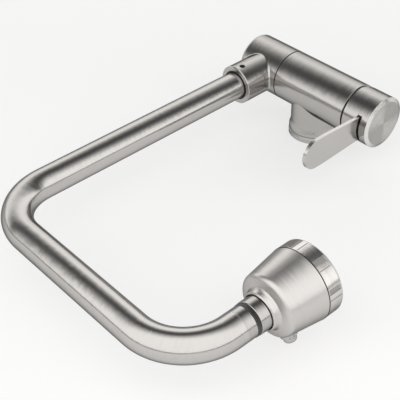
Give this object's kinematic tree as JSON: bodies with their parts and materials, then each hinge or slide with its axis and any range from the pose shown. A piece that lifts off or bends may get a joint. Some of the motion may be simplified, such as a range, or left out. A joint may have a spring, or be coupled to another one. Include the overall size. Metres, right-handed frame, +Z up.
{
  "type": "folding caravan tap",
  "caption": "Folding mixer tap with a side lever, a swinging U-shaped tube spout and a tilting spray head, lying in its folded position.",
  "frame": {"origin": "centre of the base's underside, on the worktop", "axes": "+Z up, +X along the valve body to the handle, -Y to the user; the folded spout runs out along -Y"},
  "size_m": [0.2586, 0.3275, 0.0721],
  "materials": {
    "satin_steel": "fine brushed stainless",
    "plain_steel": "machined",
    "black_steel": "blackened",
    "brass": "machined",
    "black_rubber": "matt",
    "dark_plastic": "matt",
    "pale_plastic": "matt",
    "ceramic": "ground"
  },
  "bodies": {
    "base": {"valve_body": "satin_steel", "base_ring": "satin_steel", "base_seal": "black_rubber", "pivot_spindle": "brass", "pivot_o_rings": "black_rubber", "friction_disc": "dark_plastic", "retaining_washer": "plain_steel", "retaining_screw": "plain_steel", "cartridge_gasket": "black_rubber", "cartridge_base": "pale_plastic", "fixed_disc": "ceramic", "cartridge_housing": "pale_plastic", "cartridge_nut": "brass", "cover_ring": "dark_plastic"},
    "barrel": {"swivel_barrel": "satin_steel", "slip_washer": "dark_plastic", "barrel_end_plug": "satin_steel", "collar_wear_ring": "dark_plastic", "collar_grub_screw": "black_steel"},
    "spout": {"spout_nipple": "brass", "spout_o_rings": "black_rubber", "spout_tube": "satin_steel", "end_sleeve": "satin_steel", "outlet_gasket": "black_rubber", "swivel_adapter": "brass", "grip_ring": "black_steel"},
    "socket": {"swivel_nut": "satin_steel", "ball_seal": "black_rubber"},
    "head": {"ball_stem": "brass", "head_shell": "satin_steel", "head_core": "pale_plastic", "diverter_bush": "satin_steel", "front_ring_clip": "plain_steel", "aerator_insert": "pale_plastic"},
    "diverter": {"diverter_button": "satin_steel"},
    "spray_face": {"front_ring": "satin_steel", "spray_plate": "dark_plastic", "nozzle_mat": "black_rubber"},
    "turning_valve": {"turntable": "pale_plastic", "hinge_pin": "plain_steel"},
    "lever": {"control_stem": "plain_steel", "handle_hub": "brass", "handle_cap": "satin_steel", "lever_blade": "satin_steel", "handle_grub_screw": "black_steel"},
    "sliding_disc": {"moving_disc": "ceramic"}
  },
  "joints": [
    {"name": "spout_fold", "type": "hinge", "parent": "base", "child": "barrel", "pos_m": [-0.0525, 0, 0.044], "axis": [-1, 0, 0], "range_deg": [0, 90]},
    {"name": "spout_swivel", "type": "hinge", "parent": "barrel", "child": "spout", "pos_m": [-0.0525, -0.047, 0.044], "axis": [0, -1, 0], "continuous": true},
    {"name": "head_spin", "type": "hinge", "parent": "spout", "child": "socket", "pos_m": [0.1575, -0.225, 0.044], "axis": [0, 1, 0], "continuous": true},
    {"name": "head_tilt", "type": "hinge", "parent": "socket", "child": "head", "pos_m": [0.1575, -0.225, 0.044], "axis": [1, 0, 0], "range_deg": [-10, 10]},
    {"name": "diverter_push", "type": "slide", "parent": "head", "child": "diverter", "axis": [-0.5, 0, 0.866], "range_m": [0, 0.0025], "stiffness_N_per_m": 800},
    {"name": "face_turn", "type": "hinge", "parent": "head", "child": "spray_face", "pos_m": [0.1575, -0.182, 0.044], "axis": [0, 1, 0], "range_deg": [0, 45]},
    {"name": "temperature", "type": "hinge", "parent": "base", "child": "turning_valve", "pos_m": [0, 0, 0.044], "axis": [-1, 0, 0], "range_deg": [-20, 80]},
    {"name": "flow", "type": "hinge", "parent": "turning_valve", "child": "lever", "pos_m": [0.0267, 0, 0.044], "axis": [0, 0, 1], "range_deg": [0, 15]},
    {"name": "disc_slide", "type": "slide", "parent": "turning_valve", "child": "sliding_disc", "axis": [0, -1, 0], "range_m": [0, 0.0014]}
  ],
  "couplings": [
    {"joint": "disc_slide", "follows": "flow", "m_per_rad": 0.0052}
  ]
}
